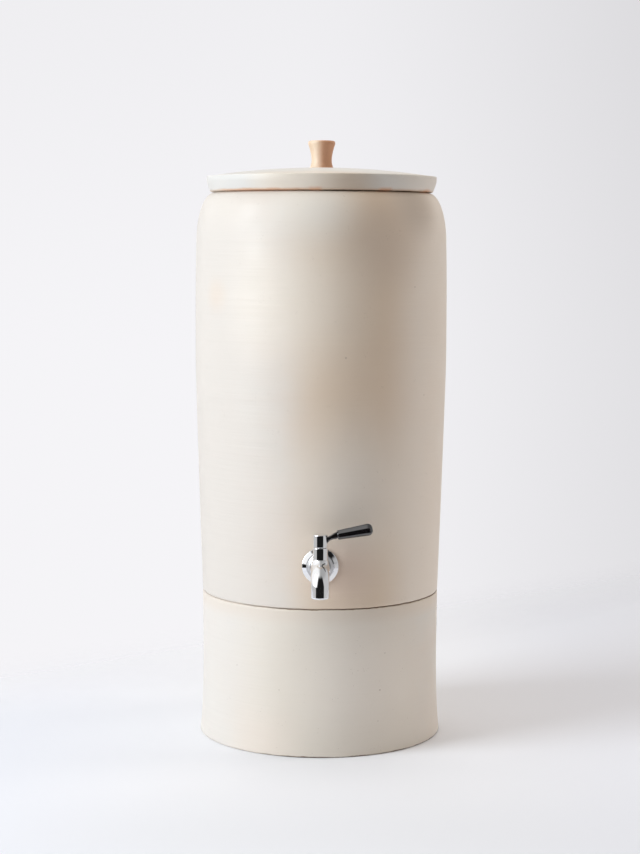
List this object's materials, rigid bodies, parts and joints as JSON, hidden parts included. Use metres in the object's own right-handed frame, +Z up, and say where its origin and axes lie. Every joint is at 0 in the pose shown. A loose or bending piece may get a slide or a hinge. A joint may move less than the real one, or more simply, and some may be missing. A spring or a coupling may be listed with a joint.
{
  "type": "gravity water filter with tap",
  "caption": "Tall glazed stoneware water filter on a ring stand, with a domed lid and turned wooden knob, a hung filter bowl and cartridge, and a chrome lever tap.",
  "frame": {"origin": "centre of the stand's foot, on the vessel's axis, in the plane that it rests on", "axes": "+Z up along the vessel's axis, -Y out of the front towards the tap's spout, +X to the right when the tap is seen from the front"},
  "size_m": [0.2596, 0.3032, 0.6129],
  "materials": {
    "stand_glaze": "satin cream glaze, slightly greyer",
    "crock_glaze": "satin warm cream glaze with faint throwing bands",
    "lid_glaze": "satin cool cream glaze with a bare clay lower edge",
    "pale_wood": "turned, lightly oiled",
    "chrome_plate": "mirror chrome",
    "steel": "plain stainless",
    "black_metal": "gloss black coat",
    "black_plastic": "gloss",
    "silicone": "translucent white",
    "black_rubber": "matt",
    "white_plastic": "satin",
    "blue_plastic": "satin",
    "clear_plastic": "clear",
    "dome_ceramic": "unglazed, porous",
    "felt": "white filter felt",
    "sand": "fine grains",
    "zeolite": "coarse grains",
    "carbon": "granular charred coconut shell",
    "clay_balls": "unglazed",
    "pebbles": "tumbled"
  },
  "bodies": {
    "stand": {"stand": "stand_glaze"},
    "crock": {"crock": "crock_glaze", "tap_flange": "chrome_plate", "tap_body": "chrome_plate", "tap_outer_washer": "silicone", "tap_inner_washer": "silicone", "tap_nut": "steel", "tap_bonnet": "chrome_plate", "mineral_basket": "white_plastic", "mineral_stones": "pebbles"},
    "tap_lever": {"tap_cap": "chrome_plate", "tap_plug": "steel", "plug_o_rings": "black_rubber", "lever_arm": "black_metal", "lever_grip": "black_plastic"},
    "filter_unit": {"filter_bowl": "white_plastic", "bowl_seal": "silicone", "dome_shell": "dome_ceramic", "dome_base": "white_plastic", "dome_gasket": "silicone", "stem_washer": "silicone", "stem_nut": "white_plastic", "cartridge_seal": "silicone", "cartridge_cap": "blue_plastic", "cartridge_tube": "clear_plastic", "cartridge_base": "blue_plastic", "filter_pads": "felt", "media_sand": "sand", "media_zeolite": "zeolite", "media_carbon": "carbon", "media_balls": "clay_balls"},
    "lid": {"lid": "lid_glaze", "lid_knob": "pale_wood", "knob_screw": "steel", "knob_washer": "silicone"}
  },
  "joints": [
    {"name": "crock_lift", "type": "slide", "parent": "stand", "child": "crock", "axis": [0, 0, 1], "range_m": [0, 0.1]},
    {"name": "tap_turn", "type": "hinge", "parent": "crock", "child": "tap_lever", "pos_m": [0, -0.14752, 0.201], "axis": [0, 0, 1], "range_deg": [-90, 0]},
    {"name": "filter_lift", "type": "slide", "parent": "crock", "child": "filter_unit", "axis": [0, 0, 1], "range_m": [0, 0.32]},
    {"name": "lid_lift", "type": "slide", "parent": "filter_unit", "child": "lid", "axis": [0, 0, 1], "range_m": [0, 0.12]}
  ]
}
